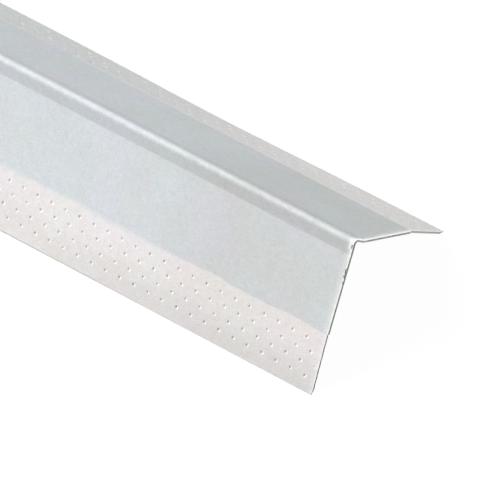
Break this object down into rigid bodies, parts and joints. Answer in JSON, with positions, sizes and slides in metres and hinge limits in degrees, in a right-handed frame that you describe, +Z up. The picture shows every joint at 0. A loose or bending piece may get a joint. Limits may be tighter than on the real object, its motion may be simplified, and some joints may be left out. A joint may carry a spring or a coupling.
{
  "type": "paper-faced drywall l-trim",
  "caption": "Stock length of right-angled steel wallboard corner trim with a raised nose bead, faced with joint-tape paper that runs past both flanges as pinpricked margins.",
  "frame": {"origin": "middle of the footprint on the floor, with the trim standing like a tent on its two paper edges", "axes": "+X along the stock length towards the cut end that the picture shows, +Z up through the nose bead, the wider leg coming down towards -Y and the narrower towards +Y"},
  "size_m": [2.4384, 0.058, 0.0318],
  "materials": {
    "galvanized_steel": "mill galvanized, faint spangle, dull grey",
    "joint_tape_paper": "matte fibrous paper, blue-grey over the steel and warm white on the margins"
  },
  "bodies": {
    "root": {"metal_core": "galvanized_steel", "paper_face": "joint_tape_paper"}
  },
  "joints": []
}
